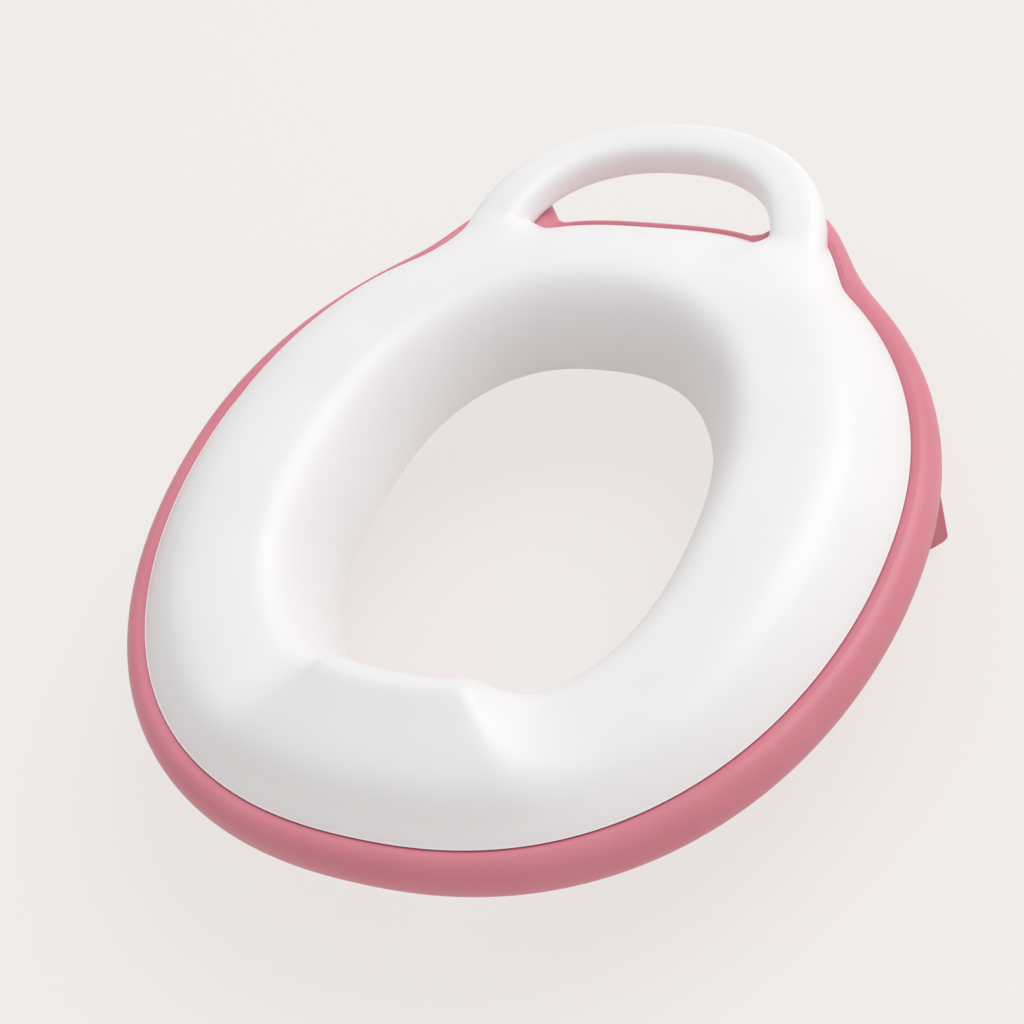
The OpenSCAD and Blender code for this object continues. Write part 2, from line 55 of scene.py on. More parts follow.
# %% camera
MM = 0.001
RING_Y = -17.5     # middle of the ring in the part's frame
JOINT_Z = 71.0     # height of the joint between the white ring and the pink base

right = Vector((0.8960, 0.3631, -0.2556))
down = Vector((0.1210, -0.7535, -0.6462))
ahead = Vector((-0.4272, 0.5481, -0.7191))
place = Vector((353.5, -463.6 + RING_Y, 595.5 + JOINT_Z)) * MM

camera_data = bpy.data.cameras.new("photo_camera")
camera_data.sensor_width = 36
camera_data.lens = 77.34
camera = bpy.data.objects.new("photo_camera", camera_data)
turn = Matrix((right, -down, -ahead)).transposed()
camera.matrix_world = Matrix.Translation(place) @ turn.to_quaternion().to_matrix().to_4x4()
bpy.context.scene.collection.objects.link(camera)
bpy.context.scene.camera = camera
bpy.context.scene.view_settings.view_transform = "Standard"
print("camera at", [round(c, 3) for c in place], "metres")

# %% [markdown]
# ## Small helpers
#
# Colours are written as sRGB hex values, the way a paint chip is read from a screen, and one function turns
# them to the linear values that the renderer works with. Another small function adds a node with its
# settings and its links.

# %% helpers for colours and nodes
def linear(hex_colour):
    """An sRGB hex colour as linear RGBA."""
    parts = [int(hex_colour[i:i + 2], 16) / 255 for i in (1, 3, 5)]
    return [c / 12.92 if c <= 0.04045 else ((c + 0.055) / 1.055) ** 2.4 for c in parts] + [1.0]


def add_node(material, kind, settings=None, links=None):
    """Adds a node: settings go to its sockets or its own options, links join its inputs to other outputs."""
    node = material.node_tree.nodes.new(kind)
    for key, value in (settings or {}).items():
        if isinstance(key, int) or key in node.inputs:
            node.inputs[key].default_value = value
        else:
            setattr(node, key, value)
    for key, source in (links or {}).items():
        material.node_tree.links.new(source, node.inputs[key])
    return node


def shader_of(material):
    return next(n for n in material.node_tree.nodes if n.type == "BSDF_PRINCIPLED")


def select_only(piece):
    """Leaves just one object selected and active, because an operator works on all that is selected."""
    if bpy.context.mode != "OBJECT":
        bpy.ops.object.mode_set(mode="OBJECT")
    bpy.ops.object.select_all(action="DESELECT")
    piece.select_set(True)
    bpy.context.view_layer.objects.active = piece


def use_modifier(piece, kind, **settings):
    """Adds a modifier with its settings and applies it."""
    select_only(piece)
    bpy.ops.object.modifier_add(type=kind)
    modifier = piece.modifiers[-1]
    for key, value in settings.items():
        setattr(modifier, key, value)
    bpy.ops.object.modifier_apply(modifier=modifier.name)


# %% [markdown]
# ## Plastics, rubber and steel
#
# The ring is polypropylene from a polished mould with a fine matt texture: a soft sheen with no mirror
# image in it. Its index of refraction is about 1.49. The grain of such a mould is about 0.1 mm, too fine to
# show at this distance, so it is drawn at 0.6 mm and very shallow. Moulded plastic is never one flat colour
# either: it is a touch denser where the wall is thick, which a slow noise of a few centimetres gives.

# %% moulded plastics
def moulded_plastic(name, low, high, roughness, spread, grain_mm, grain_depth, ior=1.49):
    """A satin plastic: low and high are the hex colours that the slow noise runs between."""
    material = bpy.data.materials.new(name)
    material.use_nodes = True
    shader = shader_of(material)
    shader.inputs["IOR"].default_value = ior
    place_on = add_node(material, "ShaderNodeTexCoord").outputs["Object"]
    slow = add_node(material, "ShaderNodeTexNoise", {"Scale": 22.0, "Detail": 3.0, "Roughness": 0.55},
                    {"Vector": place_on})
    tint = add_node(material, "ShaderNodeValToRGB", links={"Fac": slow.outputs["Fac"]})
    tint.color_ramp.elements[0].position = 0.3
    tint.color_ramp.elements[1].position = 0.7
    tint.color_ramp.elements[0].color = linear(low)
    tint.color_ramp.elements[1].color = linear(high)
    material.node_tree.links.new(tint.outputs["Color"], shader.inputs["Base Color"])
    sheen = add_node(material, "ShaderNodeMapRange",
                     {"To Min": roughness - spread, "To Max": roughness + spread},
                     {"Value": slow.outputs["Fac"]})
    material.node_tree.links.new(sheen.outputs["Result"], shader.inputs["Roughness"])
    grain = add_node(material, "ShaderNodeTexNoise", {"Scale": 1000.0 / grain_mm, "Detail": 1.0},
                     {"Vector": place_on})
    bump = add_node(material, "ShaderNodeBump", {"Strength": 0.25, "Distance": grain_depth * MM},
                    {"Height": grain.outputs["Fac"]})
    material.node_tree.links.new(bump.outputs["Normal"], shader.inputs["Normal"])
    return material


white_plastic = moulded_plastic("satin_white_polypropylene", "#F5F4F5", "#F8F7F8", 0.40, 0.03, 0.6, 0.012)
pink_plastic = moulded_plastic("satin_pink_polypropylene", "#DA8090", "#DF8897", 0.42, 0.03, 0.6, 0.012)
gear_plastic = moulded_plastic("smooth_white_acetal", "#E9E7E3", "#EEEDEA", 0.28, 0.03, 0.4, 0.004, ior=1.48)

# %% [markdown]
# The strips on the guards and the pads under the base are a thermoplastic rubber, moulded matt so that they
# grip: rougher than the plastic, with a coarser grain of about 0.8 mm.

# %% rubber
soft_rubber = moulded_plastic("matt_pink_rubber", "#CB7685", "#D17E8C", 0.74, 0.05, 0.8, 0.05, ior=1.5)

# %% [markdown]
# Screws and pins are steel with a thin zinc plating: metallic, slightly blue, with a fine cloudy haze in the
# gloss rather than in the colour.

# %% zinc-plated steel
zinc_steel = bpy.data.materials.new("zinc_plated_steel")
zinc_steel.use_nodes = True
steel_shader = shader_of(zinc_steel)
steel_shader.inputs["Metallic"].default_value = 1.0
steel_place = add_node(zinc_steel, "ShaderNodeTexCoord").outputs["Object"]
haze = add_node(zinc_steel, "ShaderNodeTexNoise", {"Scale": 900.0, "Detail": 3.0}, {"Vector": steel_place})
haze_tint = add_node(zinc_steel, "ShaderNodeValToRGB", links={"Fac": haze.outputs["Fac"]})
haze_tint.color_ramp.elements[0].color = linear("#B4B7BB")
haze_tint.color_ramp.elements[1].color = linear("#D0D2D5")
zinc_steel.node_tree.links.new(haze_tint.outputs["Color"], steel_shader.inputs["Base Color"])
haze_gloss = add_node(zinc_steel, "ShaderNodeMapRange", {"To Min": 0.24, "To Max": 0.42},
                      {"Value": haze.outputs["Fac"]})
zinc_steel.node_tree.links.new(haze_gloss.outputs["Result"], steel_shader.inputs["Roughness"])

# %% [markdown]
# ## The form of the ring, direction by direction
#
# The ring is a loft: from its middle, every direction has its own section, with a hole radius, an outer
# radius, a crown height, and a fullness on each side of the crown. The angle is counted in degrees from the
# back, clockwise seen from above. All sizes are in millimetres. They start from the CAD model's sizes, and
# the comparison with the photograph then moved some of them by a few millimetres: a flatter top with a tight
# edge above a steep hole wall, a clear outer edge, and a slightly larger hole.

# %% sections of the ring
def ease(x):
    t = max(0.0, min(1.0, x))
    return t * t * (3 - 2 * t)


def ramp(x, start, end):
    """Eases from 0 at start to 1 at end."""
    return ease((x - start) / (end - start))


def mix(a, b, w):
    return a + (b - a) * w


def power(x, n):
    return math.copysign(abs(x) ** n, x)


def sin_deg(a):
    return math.sin(math.radians(a))


def cos_deg(a):
    return math.cos(math.radians(a))


RING_W, RING_L, WALL = 290.0, 314.0, 2.6
HOLE_W = 134.0
HOLE_BACK, HOLE_FRONT = 92.3, 82.0     # reach of the hole from its own middle
HOLE_SHIFT = 10.0                      # how far the middle of the hole lies before the ring's
HOLE_DROP = 18.8                       # depth of the hole's edge below the joint
FRONT_H, SIDE_H, BACK_DIP = 14, 22, 3  # crown heights, and how much lower the crown is at the back
SPLASH_H = 27                          # height of the splash guard
SPLASH_HALF, FLANK = 16.5, 15          # degrees from the front to the ridge, and over the flank
SPLASH_WIDER = 8                       # degrees by which the splash guard's face widens towards the rim
SLOT_HALF = 18                         # degrees from the back to the end of the handle slot
SLOT_SETBACK, SLOT_DROP = 4.5, 5.5     # how far the ring's edge steps in and down inside the slot
SHOULDER = 12                          # how far the shoulders under the handle's legs stand out
SHOULDER_ANGLES = (SLOT_HALF, 24, 26.5, 39)


def oval(phi, a, b, n):
    return ((abs(sin_deg(phi)) / a) ** n + (abs(cos_deg(phi)) / b) ** n) ** (-1 / n)


def back_angle(phi):
    return min(phi, 360 - phi)


def front_angle(phi):
    return abs(180 - phi)


def bump(phi, start, rise, fall, end):
    """1 between the angles rise and fall from the back, 0 before start and past end."""
    b = back_angle(phi)
    return ramp(b, start, rise) * (1 - ramp(b, fall, end))


def ring_oval(phi):
    """The ring's outline without slot and shoulders, a little squarer at the front."""
    return oval(phi, RING_W / 2, RING_L / 2, 2.08 - 0.18 * cos_deg(phi))


def plain_r(phi):
    return ring_oval(phi) - SLOT_SETBACK * (1 - ease(back_angle(phi) / SLOT_HALF))


def ring_r(phi):
    return plain_r(phi) + SHOULDER * bump(phi, *SHOULDER_ANGLES)


def hole_r(phi):
    """Radius of the hole from its own middle."""
    return oval(phi, HOLE_W / 2, HOLE_BACK if cos_deg(phi) > 0 else HOLE_FRONT, 2.45)


def splash(phi, wider=0):
    """1 on the splash guard. Its flanks start at a clear ridge and run out softly into the ring; wider moves
    them outwards, in degrees."""
    return (1 - max(0.0, min(1.0, (front_angle(phi) - SPLASH_HALF - wider) / FLANK))) ** 2


def ring_crown(phi):
    """Height of the crown above the joint, without the splash guard."""
    rear = ease((cos_deg(phi) - 0.45) / 0.55)
    return mix(FRONT_H, SIDE_H - BACK_DIP * rear, ramp(front_angle(phi), 22, 82))


def slot_low(phi):
    """How far the ring's outer edge lies below the joint, inside the slot and beneath the handle's legs."""
    return SLOT_DROP * (1 - ramp(back_angle(phi), 17, 24))


def crown_place(phi):
    """How far the crown lies from the hole, as a share of the ring's width."""
    place_on_oval = mix(0.34, 0.3, splash(phi))
    return place_on_oval * (ring_oval(phi) - hole_r(phi)) / (ring_r(phi) - hole_r(phi))


EDGE_SHARPNESS = 4.5   # of the edge between the ring's top and its outer slope
CROWDING = 1.1         # draws the points of a section together at the crown
FACE_RUN = 0.86        # share of the outer side over which the splash guard's face comes down
LEAN_IN, LEAN_RUN = 5, 0.65     # fall of the top towards the hole, and the share of the width it takes


def inner_height(phi, s):
    """Height between the crown, s = 0, and the hole, s = 1: a tight edge above a steep, leaning wall."""
    flatness, steepness = mix(2.4, 2.2, splash(phi)), mix(1.3, 1.9, splash(phi))
    return max(0.0, 1 - s ** flatness) ** (1 / steepness)


def outer_height(phi, s):
    """Height between the crown and the joint: flat up to a clear edge, then a straight slope."""
    if s > 0.999:
        return 0.0
    slope_run = 0.32 + 0.06 * sin_deg(phi) ** 2
    edged = (1 + (slope_run / (1 - s)) ** EDGE_SHARPNESS) ** (-1 / EDGE_SHARPNESS)
    plain = (1 - s ** 1.9) ** 0.95
    return mix(plain, edged, ramp(back_angle(phi), SLOT_HALF, 50))


def over(phi, t, gap):
    """A point on the ring in local mm: t runs from -1 at the hole over the crown at 0 to 1 at the joint."""
    hole, outer = hole_r(phi) + gap, ring_r(phi) - gap
    hx, hy = hole * sin_deg(phi), hole * cos_deg(phi) - HOLE_SHIFT
    ox, oy = outer * sin_deg(phi), outer * cos_deg(phi)
    p = crown_place(phi)
    s = abs(math.sin(math.pi / 2 * t)) ** CROWDING
    c = inner_height(phi, s) if t < 0 else outer_height(phi, s)
    k = p - p * s if t < 0 else p + (1 - p) * s
    low = -HOLE_DROP if t < 0 else -slot_low(phi)
    crown = mix(ring_crown(phi), SPLASH_H, splash(phi, SPLASH_WIDER * s if t > 0 else 0))
    top = (crown if t < 0 else ring_crown(phi)) - gap
    face = 0 if t < 0 else (crown - ring_crown(phi)) * max(0.0, 1 - s / FACE_RUN)
    lean_in = LEAN_IN * ramp(back_angle(phi), 20, 70) * (1 - splash(phi)) * max(0.0, 1 - k / LEAN_RUN) ** 2
    return Vector((mix(hx, ox, k), mix(hy, oy, k), low + (top - low - lean_in) * c + face))


print("crown at the back, side and front in mm:", [round(over(a, 0, 0).z, 1) for a in (0, 90, 180)])

# %% [markdown]
# ## A torus as the start of a loft
#
# A torus has exactly the net of faces that a closed loft needs: rings of points round a loop. So the loft
# starts as a torus with as many segments as it needs, and every point of it is then moved to its place on
# the section in its own direction. The faces, and which way they point, stay as the torus made them.

# %% loft helper
def settle(points):
    """Local millimetres to metres in the part's frame."""
    return [c for p in points for c in (p[0] * MM, (p[1] + RING_Y) * MM, (p[2] + JOINT_Z) * MM)]


def loft(name, section, around):
    """A closed loft: section(phi) gives the loop of points, from the outer edge over the top and back."""
    bpy.ops.object.select_all(action="DESELECT")
    bpy.ops.mesh.primitive_torus_add(major_segments=around, minor_segments=len(section(90)),
                                     major_radius=0.11, minor_radius=0.03, generate_uvs=False)
    piece = bpy.context.object
    piece.name = piece.data.name = name
    points = []
    for i in range(around):
        phi = (90 - 360 * i / around) % 360
        points += section(phi)
    piece.data.vertices.foreach_set("co", settle(points))
    piece.data.update()
    return piece


def smooth_by_angle(piece, degrees):
    select_only(piece)
    bpy.ops.object.shade_smooth_by_angle(angle=math.radians(degrees))


# %% [markdown]
# ## The white ring
#
# The real ring is one injection moulding with a wall of 2.6 mm, open below. Its section goes from the joint
# over the crown to the hole's lower edge, turns round a small lip and comes back inside. The lips get a
# radius of half a millimetre, because a moulded edge is never sharp and the small radius catches light.

# %% ring section
AROUND = 256       # sections round the ring, as many as Blender's torus can have
ACROSS_OUTSIDE = 47
ACROSS_INSIDE = 21
LIP, LIP_CORNER = 0.5, 0.15     # a lip's width, and how far its rounded corner stays from the sharp one


def inward(phi, t, distance, lift):
    """A point near an edge, moved along the section towards its middle and up."""
    edge = over(phi, t, 0)
    middle = over(phi, 0, 0)
    way = Vector((middle.x - edge.x, middle.y - edge.y, 0)).normalized()
    return edge + way * distance + Vector((0, 0, lift))


def ring_section(phi):
    outside = [over(phi, 1 - 2 * i / (ACROSS_OUTSIDE - 1), 0) for i in range(ACROSS_OUTSIDE)]
    outside[0] = inward(phi, 1, 0, LIP)
    outside[-1] = inward(phi, -1, 0, LIP)
    hole_lip = [inward(phi, -1, LIP_CORNER, LIP_CORNER), inward(phi, -1, LIP, 0)]
    inside = [over(phi, -1 + 2 * i / (ACROSS_INSIDE - 1), WALL) for i in range(ACROSS_INSIDE)]
    inside[0] = inward(phi, -1, WALL, 0)
    inside[-1] = inward(phi, 1, WALL, 0)
    outer_lip = [inward(phi, 1, LIP, 0), inward(phi, 1, LIP_CORNER, LIP_CORNER)]
    return outside + hole_lip + inside + outer_lip


ring = loft("seat_ring", ring_section, AROUND)
print("ring:", len(ring.data.polygons), "faces")

# %% [markdown]
# The two curves of a section leave a faint crease where they meet on the crown, and the ridges of the splash
# guard start as hard lines. A moulding is blended there. A Smooth modifier on the outer surface alone, held
# back at the two edges, gives that blend without touching the inside or the lips.

# %% soften the ring's surface
HELD_ROWS, BLEND_ROWS = 1, 7     # rows of points from an edge that stay, and that move less than the rest
loop_length = len(ring_section(90))
blend = ring.vertex_groups.new(name="outer_surface")
for i in range(AROUND):
    for j in range(ACROSS_OUTSIDE):
        from_edge = min(j, ACROSS_OUTSIDE - 1 - j)
        if from_edge > HELD_ROWS:
            blend.add([i * loop_length + j], ease((from_edge - HELD_ROWS) / BLEND_ROWS), "REPLACE")
use_modifier(ring, "SMOOTH", factor=0.5, iterations=6, vertex_group="outer_surface")

# %% [markdown]
# ## The handle
#
# The handle is an arch that leaves the ring's two shoulders, and a channel open below. A grid is the flat
# start for such a tube: one way of the grid runs along the arch, the other round the section. Its long
# sides are merged where they meet and its two ends are closed. The arch is a little squarer than an ellipse,
# and so is its section.

# %% handle
HANDLE_W = 137.4
HANDLE_REACH, HANDLE_ROOT = 34.6, 37.0   # how far the arch goes behind the ring's edge, and before it
ARCH_FOOT, ARCH_LENGTH = RING_L / 2 - HANDLE_ROOT, HANDLE_REACH + HANDLE_ROOT
ARCH_FULL_X, ARCH_FULL_Y = 2.2, 2.38     # 2 would be an ellipse
GRIP_W, GRIP_H, GRIP_Z = 19.9, 17.7, 4.0
LEG_FLARE, END_SINK = 1.8, 4.0           # how much the legs widen and sink towards their ends
GRIP_LIP = 0.655                         # depth of the lips, as a share of half the height
ALONG = 150


def arch(a):
    """The handle's middle line, from the right leg at 0 degrees to the left one at 180."""
    return Vector((HANDLE_W / 2 * power(cos_deg(a), 2 / ARCH_FULL_X),
                   ARCH_FOOT + ARCH_LENGTH * abs(sin_deg(a)) ** (2 / ARCH_FULL_Y)))


def inside_arch(x, y):
    """True for a place on the slot's side of the handle."""
    y -= ARCH_FOOT
    return y > 0 and (2 * abs(x) / HANDLE_W) ** ARCH_FULL_X + (y / ARCH_LENGTH) ** ARCH_FULL_Y < 0.97


def grip_side(w, h, steps):
    return [(w * power(cos_deg(b), 2 / 3), h * power(sin_deg(b), 2 / 3)) for b in steps]


def grip_section(w, h):
    """The channel's section: the outer side over the top, one lip, the inner side back, the other lip."""
    outer = grip_side(w, h, [-32 + 244 * i / 40 for i in range(41)])
    inner = grip_side(w - WALL, h - WALL, [180 - 180 * i / 18 for i in range(19)])
    lip = GRIP_LIP * h
    first_lip = [(outer[-1][0] + 0.5, -lip - 0.05), (WALL - w, -lip)]
    last_lip = [(w - WALL, -lip), (outer[0][0] - 0.5, -lip - 0.05)]
    return outer + first_lip + inner + last_lip


def handle_points():
    points = []
    for i in range(ALONG):
        a = 180 * i / (ALONG - 1)
        p, q, r = arch(a), arch(min(a + 0.5, 180)), arch(max(a - 0.5, 0))
        way = (q - r).normalized()
        wide = GRIP_W / 2 + LEG_FLARE * abs(cos_deg(a)) ** 4
        middle = GRIP_Z - END_SINK * abs(cos_deg(a)) ** 16
        row = [(p.x + across * way.y, p.y - across * way.x, middle + up)
               for across, up in grip_section(wide, GRIP_H / 2)]
        points.append(row + [row[0]])
    return points


rows = handle_points()
bpy.ops.object.select_all(action="DESELECT")
bpy.ops.mesh.primitive_grid_add(x_subdivisions=len(rows[0]) - 1, y_subdivisions=ALONG - 1, size=0.2,
                                calc_uvs=False)
handle = bpy.context.object
handle.name = handle.data.name = "carry_handle"
handle.data.vertices.foreach_set("co", settle([p for row in rows for p in row]))
bpy.ops.object.mode_set(mode="EDIT")
bpy.ops.mesh.select_all(action="SELECT")
bpy.ops.mesh.remove_doubles(threshold=0.00001)
bpy.ops.mesh.select_all(action="DESELECT")
bpy.ops.mesh.select_non_manifold()
bpy.ops.mesh.fill_holes(sides=0)
bpy.ops.mesh.select_all(action="SELECT")
bpy.ops.mesh.normals_make_consistent(inside=False)
bpy.ops.object.mode_set(mode="OBJECT")
print("handle:", len(handle.data.polygons), "faces")

# %% [markdown]
# Ring and handle are one moulding, so they are joined with a Boolean union. The manifold solver is the one
# that keeps two channels with such thin walls closed. The union leaves a sharp line where the legs enter the
# shoulders. Two search trees of the outer surfaces tell how far each point is from both; the closer it is to
# that line, the more a Smooth modifier moves it, which makes the soft fillet. It is wide outside the legs and
# small inside the slot, so that the slot keeps its length.

# %% join ring and handle
def tree_of(piece):
    mesh = bmesh.new()
    mesh.from_mesh(piece.data)
    tree = BVHTree.FromBMesh(mesh)
    mesh.free()
    return tree


ring_tree, handle_tree = tree_of(ring), tree_of(handle)
use_modifier(ring, "BOOLEAN", operation="UNION", solver="MANIFOLD", object=handle)
bpy.data.objects.remove(handle)
seat_shell = ring
seat_shell.name = seat_shell.data.name = "seat_ring_and_handle"

fillet = seat_shell.vertex_groups.new(name="fillet")
FILLET, SLOT_FILLET = 11 * MM, 5 * MM
LEGS_FROM = (RING_Y + 95) * MM
FILLET_FROM = (JOINT_Z - 1) * MM
for vertex in seat_shell.data.vertices:
    if vertex.co.y < LEGS_FROM or vertex.co.z < FILLET_FROM:
        continue
    to_ring = ring_tree.find_nearest(vertex.co)[3]
    to_handle = handle_tree.find_nearest(vertex.co)[3]
    far = max(to_ring, to_handle)
    reach = SLOT_FILLET if inside_arch(vertex.co.x / MM, vertex.co.y / MM - RING_Y) else FILLET
    if far < reach:
        height = ease((vertex.co.z - FILLET_FROM) / (4 * MM))
        fillet.add([vertex.index], ease(1 - far / reach) * height, "REPLACE")
use_modifier(seat_shell, "SMOOTH", factor=0.5, iterations=40, vertex_group="fillet")
smooth_by_angle(seat_shell, 40)
seat_shell.data.materials.clear()
seat_shell.data.materials.append(white_plastic)
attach(seat_shell, "seat")
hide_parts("seat_shell")
print("ring and handle:", len(seat_shell.data.polygons), "faces")

# %% [markdown]
# ## The pink base
#
# The base is one moulding too: a collar round the hole, a flat floor, and a rounded rim that is a channel
# open below. It is lofted in the same way, and then the screw holes and the slots for the guide pins are cut.

# %% base section
RIM_H, RIM_T, FLOOR_T = 20.2, 2.8, 2.8
COLLAR_H, COLLAR_T, COLLAR_GAP = 4.0, 2.0, 2.0     # the collar round the hole, and its gap to the ring's wall
RIM_SEAT, SEAT_GAP = 9.0, 0.3                      # the shelf that the ring sits on, and the gap above it
RIM_OUT, SLOT_STRIP, EAR = 10, 5, 19               # reach of the rim, of the strip in the slot, of the ears
UNDER_Z = 1 - RIM_H
FLOOR_TOP = UNDER_Z + FLOOR_T


def rim_reach(phi):
    """How far the rim stands out past the ring; the ears taper off from the handle's legs."""
    b = back_angle(phi)
    ear = EAR * ease((b - 15.8) / 3.5) * (1 - ease((b - 19.5) / 26)) ** 2
    return mix(SLOT_STRIP, RIM_OUT, ramp(b, 16, 22)) + ear


def rim_side(reach, low, gap, steps):
    """The rim's rounded side as places out from the ring's edge and up: gap is how far it lies inside."""
    middle, half = 1 + (reach - 1) * 0.1, (RIM_H - low) / 2
    return [(middle + (reach - middle - gap) * power(cos_deg(t), 2 / 2.1),
             1 - low - half + (half - gap) * power(sin_deg(t), 2 / 2.1)) for t in steps]


def round_corner(before, corner, after, radius):
    """Three points in place of a corner."""
    a = corner + (before - corner).normalized() * radius
    b = corner + (after - corner).normalized() * radius
    return [a, corner * 0.2 + (a + b) * 0.4, b]


def base_section(phi):
    """The section in one direction: collar, floor, shelf, the rim outside and back inside, underside."""
    r = ring_r(phi)
    reach = rim_reach(phi) + plain_r(phi) - r
    low = slot_low(phi)
    top = -SEAT_GAP - low
    way = Vector((sin_deg(phi), cos_deg(phi)))
    hole = way * (hole_r(phi) + WALL + COLLAR_GAP) - Vector((0, HOLE_SHIFT))
    collar = hole + way * COLLAR_T
    outline = [Vector((*hole, UNDER_Z)), Vector((*hole, FLOOR_TOP + COLLAR_H)),
               Vector((*collar, FLOOR_TOP + COLLAR_H)), Vector((*collar, FLOOR_TOP))]
    flat = [(-RIM_SEAT, FLOOR_TOP), (-RIM_SEAT, top), (0.4, top)]
    sweep = rim_side(reach, low, 0, [84 - 168 * i / 30 for i in range(31)])
    back = rim_side(reach, low, RIM_T, [-84 + 168 * i / 14 for i in range(15)])
    foot = [(RIM_T - RIM_SEAT, top - RIM_T), (RIM_T - RIM_SEAT, UNDER_Z)]
    outline += [Vector((*(way * (r + x)), z)) for x, z in flat + sweep + back + foot]
    # radius of each corner that is rounded, by its number in the outline
    sharp = {0: 0.3, 1: 0.6, 2: 0.6, 3: 0.3, 4: 0.5, 5: 0.5, len(outline) - 2: 0.5, len(outline) - 1: 0.4}
    loop = []
    for i, corner in enumerate(outline):
        if i in sharp:
            loop += round_corner(outline[i - 1], corner, outline[(i + 1) % len(outline)], sharp[i])
        else:
            loop.append(corner)
    return loop[::-1]


base = loft("pink_base", base_section, AROUND)
print("base:", len(base.data.polygons), "faces")

# %% [markdown]
# The holes are cut one by one. Each screw has a clearance hole with a countersink below, right where the CAD
# model's screw stands, and each guide pin has a slot as long as the guard's travel. The gear cover's screws
# have plain pilot holes.

# %% holes in the base
SCREW_ANGLES = (32, 76, 120, 148)     # roughly, from the back
SCREW_NEAR = 14                       # degrees within which a screw lies from its angle
SCREW_HOLE_R, SINK_R, SINK_TOP_R, SINK_H = 2.0, 3.75, 1.7, 2.1
PILOT_R = 1.55
PIN_SLOT_R, PIN_INSET = 3.4, 7        # half width of a pin's slot, and its distance from the guard's face
THROUGH = 6                           # height of a cutter that goes right through the floor
PINION_R = 13.5
TRAVEL = PINION_R * math.radians(90)
DIAL_Y = -122.0
PIN_PLACES = (-8, 34)


def guide_x(y):
    """Where a guide pin stands: the guard's face is bowed at the front and flares out at the back."""
    face = 112 - 0.0045 * min(0, y - 20) ** 2 + 30 * (max(0, y - 25) / 32) ** 2
    return face - PIN_INSET


def cutter_cylinder(x, y, z, radius, height, top_radius=None):
    bpy.ops.object.select_all(action="DESELECT")
    bpy.ops.mesh.primitive_cone_add(vertices=40, radius1=radius * MM,
                                    radius2=(radius if top_radius is None else top_radius) * MM,
                                    depth=height * MM,
                                    location=(x * MM, (y + RING_Y) * MM, (z + height / 2 + JOINT_Z) * MM))
    return bpy.context.object


def screw_place(angle, side):
    """The middle of the CAD model's screw near an angle, in mm from the middle of the ring."""
    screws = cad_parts["shell_screws"]
    corners = [(screws.matrix_world @ v.co).xy / MM - Vector((0, RING_Y)) for v in screws.data.vertices]
    near = [c for c in corners if c.x * side > 0
            and abs(math.degrees(math.atan2(c.x * side, c.y)) - angle) < SCREW_NEAR]
    xs, ys = [c.x for c in near], [c.y for c in near]
    return Vector(((min(xs) + max(xs)) / 2, (min(ys) + max(ys)) / 2))


cutters = []
for side in (1, -1):
    for angle in SCREW_ANGLES:
        p = screw_place(angle, side)
        cutters.append(cutter_cylinder(p.x, p.y, UNDER_Z - 1, SCREW_HOLE_R, THROUGH))
        cutters.append(cutter_cylinder(p.x, p.y, UNDER_Z - 0.05, SINK_R, SINK_H, SINK_TOP_R))
    for y in PIN_PLACES:
        slot = cutter_cylinder(side * guide_x(y), y, UNDER_Z - 1, PIN_SLOT_R, THROUGH)
        for vertex in slot.data.vertices:
            if vertex.co.x * side < 0:
                vertex.co.x -= side * TRAVEL * MM
        cutters.append(slot)
for x in (-25, 25):
    for y in (-5.5, 5.5):
        cutters.append(cutter_cylinder(x, y + DIAL_Y, UNDER_Z - 1, PILOT_R, FLOOR_T + 0.6))
for cutter in cutters:
    use_modifier(base, "BOOLEAN", operation="DIFFERENCE", solver="EXACT", object=cutter)
    bpy.data.objects.remove(cutter)
smooth_by_angle(base, 40)
base.data.materials.clear()
base.data.materials.append(pink_plastic)
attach(base, "seat")
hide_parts("base_tray")
print("base with holes:", len(base.data.polygons), "faces")

# %% [markdown]
# ## Moulded and turned pieces with softened edges
#
# The guards, strips, knob, cover, pads and fixings have the right shape in the CAD model already. What they
# lack is the small radius that every mould leaves on an edge. Each is copied, its loose triangles are merged,
# flat areas are dissolved to single faces, and a Bevel modifier rounds the edges that are sharper than 30
# degrees.

# %% softened copies
def softened(node, body, material, radius_mm, segments=3):
    """A copy of a CAD node with its edges rounded, riding on its body."""
    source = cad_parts[node]
    piece = source.copy()
    piece.data = source.data.copy()
    piece.parent = None
    for key in [k for k in piece.keys() if k.startswith("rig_")]:
        del piece[key]
    piece.name = piece.data.name = node + "_finished"
    bpy.context.scene.collection.objects.link(piece)
    select_only(piece)
    bpy.ops.object.mode_set(mode="EDIT")
    bpy.ops.mesh.select_all(action="SELECT")
    bpy.ops.mesh.remove_doubles(threshold=0.000002)
    bpy.ops.mesh.dissolve_limited(angle_limit=math.radians(0.6))
    bpy.ops.object.mode_set(mode="OBJECT")
    use_modifier(piece, "BEVEL", width=radius_mm * MM, segments=segments, limit_method="ANGLE",
                 angle_limit=math.radians(30), use_clamp_overlap=True)
    smooth_by_angle(piece, 35)
    piece.data.materials.clear()
    piece.data.materials.append(material)
    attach(piece, body)
    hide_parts(node)
    print(node, len(piece.data.polygons), "faces")
    return piece


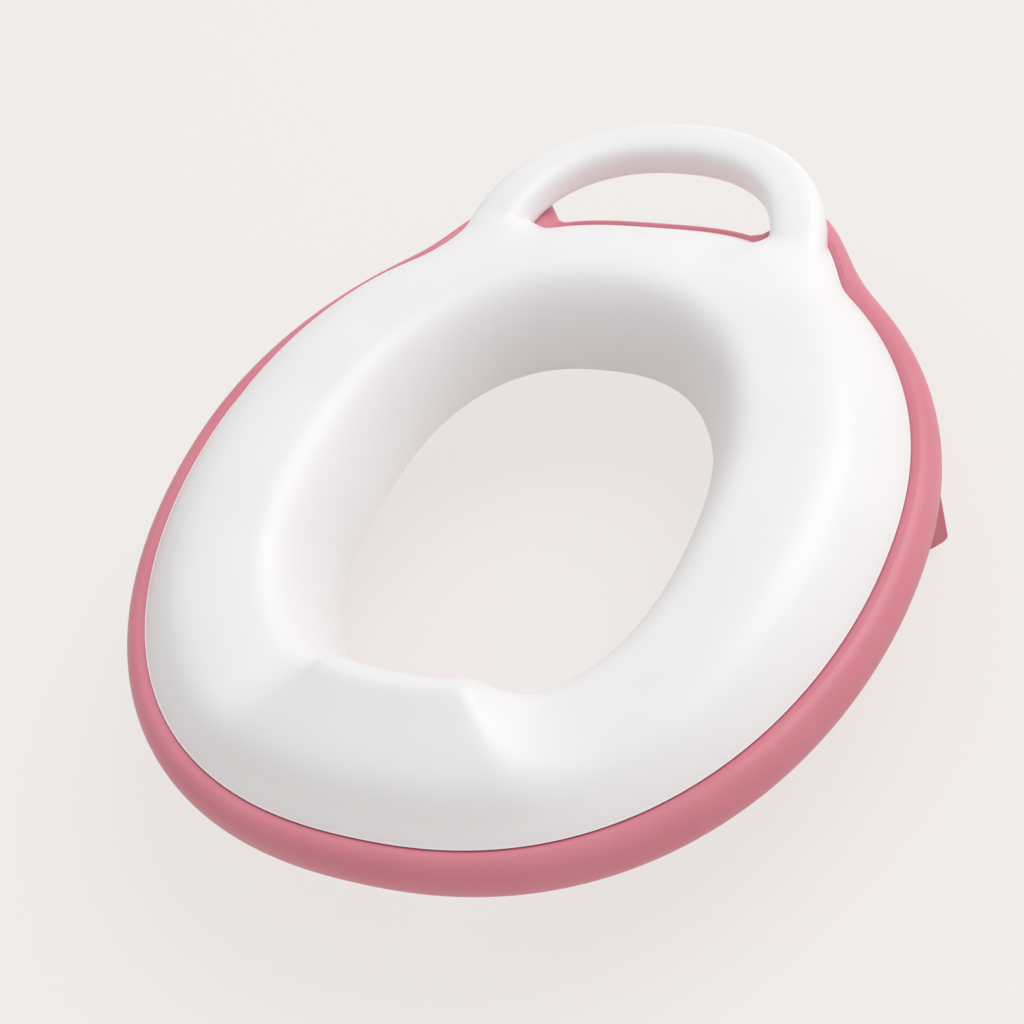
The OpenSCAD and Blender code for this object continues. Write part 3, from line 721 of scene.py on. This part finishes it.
softened("guard_right", "guard_right", pink_plastic, 0.8)
softened("guard_left", "guard_left", pink_plastic, 0.8)
softened("guard_strip_right", "guard_right", soft_rubber, 0.6)
softened("guard_strip_left", "guard_left", soft_rubber, 0.6)
softened("base_pads", "seat", soft_rubber, 0.4)
softened("gear_cover", "seat", pink_plastic, 0.5)
softened("dial_knob", "dial", white_plastic, 0.5)
softened("dial_pinion", "dial", gear_plastic, 0.12, 2)
softened("shell_screws", "seat", zinc_steel, 0.12, 2)
softened("cover_screws", "seat", zinc_steel, 0.12, 2)
softened("dial_screw", "dial", zinc_steel, 0.12, 2)
softened("guide_pins_right", "guard_right", zinc_steel, 0.2, 2)
softened("guide_pins_left", "guard_left", zinc_steel, 0.2, 2)

# %% [markdown]
# ## Floor and light
#
# The photograph has one pale backdrop with soft light from above and behind. The floor is a wide plane, and
# the sky is a plain pale dome that gives most of the light. One large lamp above and behind the handle gives
# the soft shading on the splash guard and inside the hole.

# %% floor
PALE = "#F2EEEB"
PLAIN_SHARE = 0.84     # share of the floor's look that is one plain tone; the rest takes light and shadow
bpy.ops.object.select_all(action="DESELECT")
bpy.ops.mesh.primitive_plane_add(size=8)
floor = bpy.context.object
floor.name = "floor"
paper = bpy.data.materials.new("matt_pale_paper")
paper.use_nodes = True
paper_shader = shader_of(paper)
paper_shader.inputs["Base Color"].default_value = linear(PALE)
paper_shader.inputs["Roughness"].default_value = 0.95
paper_shader.inputs["Specular IOR Level"].default_value = 0.1
seen = add_node(paper, "ShaderNodeLightPath")
seen_or_mirrored = add_node(paper, "ShaderNodeMath", {"operation": "MAXIMUM"},
                            {0: seen.outputs["Is Camera Ray"], 1: seen.outputs["Is Glossy Ray"]})
any_view = add_node(paper, "ShaderNodeMath", {"operation": "MAXIMUM"},
                    {0: seen_or_mirrored.outputs[0], 1: seen.outputs["Is Transmission Ray"]})
share = add_node(paper, "ShaderNodeMath", {"operation": "MULTIPLY", 1: PLAIN_SHARE}, {0: any_view.outputs[0]})
bright_paper = add_node(paper, "ShaderNodeEmission", {"Color": linear(PALE), "Strength": 1.0})
paper_mix = add_node(paper, "ShaderNodeMixShader",
                     links={0: share.outputs[0], 1: paper_shader.outputs[0], 2: bright_paper.outputs[0]})
paper_out = next(n for n in paper.node_tree.nodes if n.type == "OUTPUT_MATERIAL")
paper.node_tree.links.new(paper_mix.outputs[0], paper_out.inputs["Surface"])
floor.data.materials.append(paper)

# %% sky and lamp
world = bpy.data.worlds.new("pale_sky")
bpy.context.scene.world = world
world.use_nodes = True
sky = world.node_tree.nodes
links = world.node_tree.links
background = next(n for n in sky if n.type == "BACKGROUND")
background.inputs["Color"].default_value = linear("#FBFAF9")
background.inputs["Strength"].default_value = 0.62
shown = sky.new("ShaderNodeBackground")
shown.inputs["Color"].default_value = linear(PALE)
path = sky.new("ShaderNodeLightPath")
choose = sky.new("ShaderNodeMixShader")
world_out = next(n for n in sky if n.type == "OUTPUT_WORLD")
links.new(path.outputs["Is Camera Ray"], choose.inputs[0])
links.new(background.outputs[0], choose.inputs[1])
links.new(shown.outputs[0], choose.inputs[2])
links.new(choose.outputs[0], world_out.inputs["Surface"])


def lamp(name, direction, distance, size, power_w):
    """A square lamp that looks at the seat from a direction."""
    data = bpy.data.lights.new(name, "AREA")
    data.shape = "SQUARE"
    data.size = size
    data.energy = power_w
    piece = bpy.data.objects.new(name, data)
    way = Vector(direction).normalized()
    piece.location = Vector((0, 0, 0.06)) + way * distance
    piece.rotation_euler = way.to_track_quat("Z", "Y").to_euler()
    bpy.context.scene.collection.objects.link(piece)


lamp("soft_key", (0.38, 0.44, 0.81), 2.6, 1.9, 34.0)
